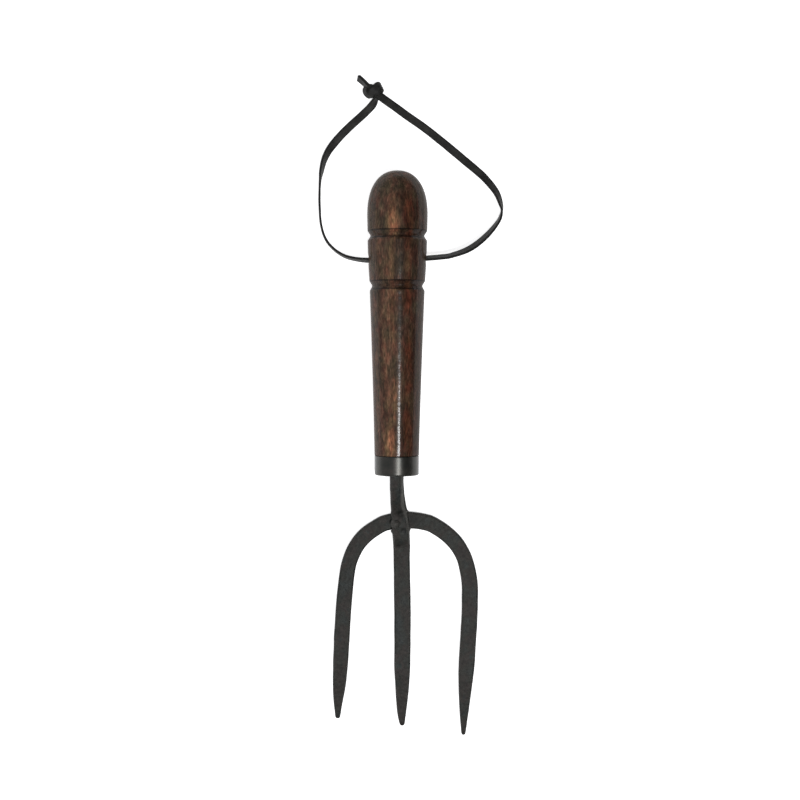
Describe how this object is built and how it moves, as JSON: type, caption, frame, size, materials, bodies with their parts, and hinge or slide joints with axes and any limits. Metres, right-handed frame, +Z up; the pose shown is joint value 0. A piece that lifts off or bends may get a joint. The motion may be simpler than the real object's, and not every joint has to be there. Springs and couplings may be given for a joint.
{
  "type": "hand fork",
  "caption": "Short garden hand fork: turned dark wooden handle, steel ferrule, flat forged tines riveted at the arch, and a knotted leather hanging thong.",
  "frame": {"origin": "on the surface the fork lies on, under the middle of the fork's box with the thong left out", "axes": "+Y along the handle from the tines to the knob, +X to the right seen from above, +Z up out of the surface"},
  "size_m": [0.1001, 0.3563, 0.0322],
  "materials": {
    "stained_wood": "dark walnut stain under semi-gloss lacquer, fine open pores",
    "ferrule_steel": "blackened steel, polished",
    "forged_iron": "hammered forging with a satin black oil finish",
    "thong_leather": "black dyed lace leather, satin"
  },
  "bodies": {
    "fork": {"handle": "stained_wood", "ferrule": "ferrule_steel", "centre_tine": "forged_iron", "outer_tines": "forged_iron", "rivet": "forged_iron"},
    "thong": {"thong_left_run": "thong_leather", "thong_right_run": "thong_leather", "thong_knot": "thong_leather", "thong_tail_lower": "thong_leather", "thong_tail_upper": "thong_leather"}
  },
  "joints": [
    {"name": "thong_swing", "type": "hinge", "parent": "fork", "child": "thong", "pos_m": [-0.00433, 0.10425, 0.01548], "axis": [1, 0, 0], "range_deg": [0, 175]}
  ]
}
